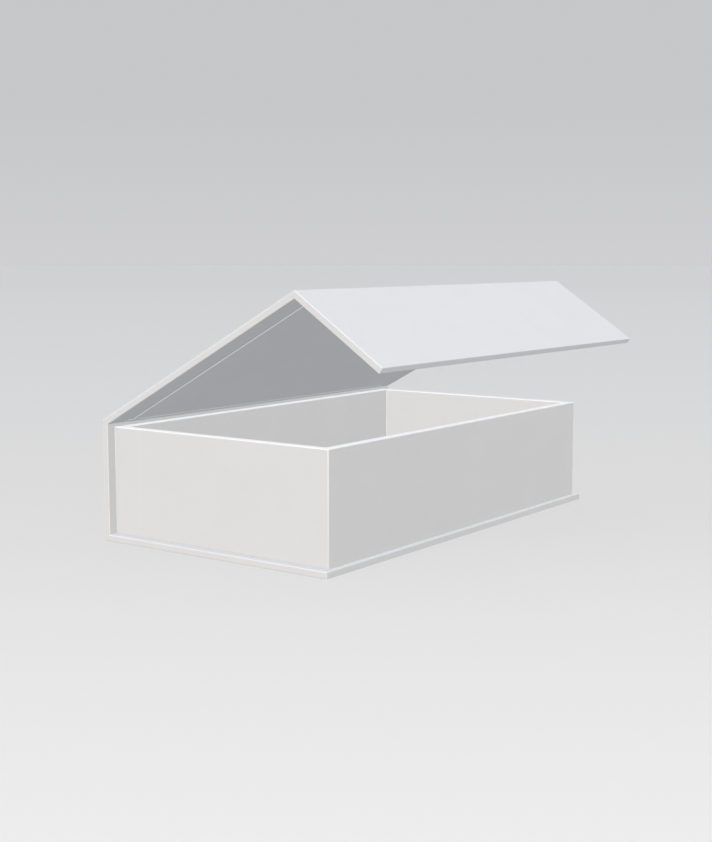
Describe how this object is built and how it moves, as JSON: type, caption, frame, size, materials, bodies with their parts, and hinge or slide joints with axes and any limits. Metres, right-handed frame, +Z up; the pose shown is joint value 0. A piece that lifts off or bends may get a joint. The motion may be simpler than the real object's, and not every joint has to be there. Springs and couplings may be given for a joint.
{
  "type": "hinged lid gift box",
  "caption": "White rigid gift box: an open board tray glued into a wrapped case with a hinged lid and a front flap held shut by hidden magnets.",
  "frame": {"origin": "centre of the base panel's underside", "axes": "+X along the hinge, -Y to the front where the flap closes, +Z up"},
  "size_m": [0.2284, 0.158, 0.1185],
  "materials": {
    "white_paper": "matte",
    "lining_paper": "matte",
    "greyboard": "matte",
    "magnet_nickel": "polished",
    "keeper_steel": "satin"
  },
  "bodies": {
    "case": {"tray_board": "greyboard", "tray_wrap": "white_paper", "tray_floor_liner": "lining_paper", "base_board": "greyboard", "spine_board": "greyboard", "case_wrap": "white_paper", "keeper_disc_left": "keeper_steel", "keeper_disc_right": "keeper_steel", "hinge_cover_crease": "white_paper", "hinge_liner_crease": "lining_paper"},
    "lid": {"lid_board": "greyboard", "lid_wrap": "white_paper", "lid_liner": "lining_paper", "flap_cover_crease": "white_paper", "flap_liner_crease": "lining_paper"},
    "flap": {"flap_board": "greyboard", "flap_wrap": "white_paper", "flap_liner": "lining_paper", "magnet_disc_left": "magnet_nickel", "magnet_disc_right": "magnet_nickel"}
  },
  "joints": [
    {"name": "lid_hinge", "type": "hinge", "parent": "case", "child": "lid", "pos_m": [0, 0.06315, 0.0556], "axis": [-1, 0, 0], "range_deg": [-28.45, 151.55], "deforming": ["hinge_cover_crease", "hinge_liner_crease"]},
    {"name": "flap_hinge", "type": "hinge", "parent": "lid", "child": "flap", "pos_m": [0, -0.04866, 0.11561], "axis": [1, 0, 0], "range_deg": [-62.5, 27.5], "deforming": ["flap_cover_crease", "flap_liner_crease"]}
  ]
}
